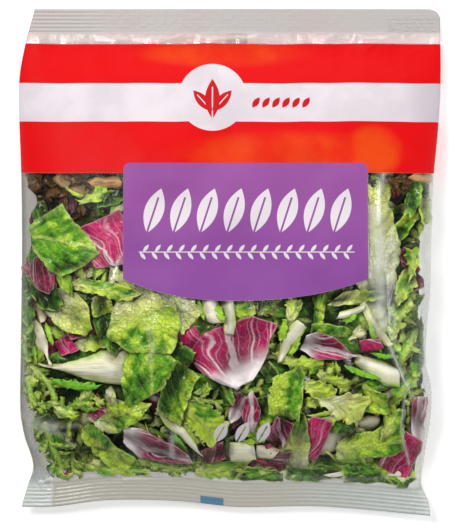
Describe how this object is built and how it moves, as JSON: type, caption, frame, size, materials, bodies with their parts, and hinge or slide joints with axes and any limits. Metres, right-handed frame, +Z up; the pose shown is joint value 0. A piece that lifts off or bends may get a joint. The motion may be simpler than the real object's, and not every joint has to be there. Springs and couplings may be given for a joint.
{
  "type": "bag of salad leaves",
  "caption": "Sealed clear film pillow bag, crimped at both ends, with a printed band and label, filled with cut mixed salad leaves; lies on its back.",
  "frame": {"origin": "on the floor, under the middle of the bag's outline", "axes": "+X across the bag to its right as seen from above, +Y along the bag to its head end with the printed band, +Z up out of the shown side"},
  "size_m": [0.24, 0.2888, 0.0537],
  "materials": {
    "film": "clear glossy film over green leaves, printed red, white and purple",
    "green_leaf": "satin leaf",
    "curly_leaf": "satin leaf",
    "pale_leaf": "satin pale leaf and rib",
    "red_leaf": "satin leaf with white veins"
  },
  "bodies": {
    "root": {"bag": "film"}
  },
  "joints": []
}
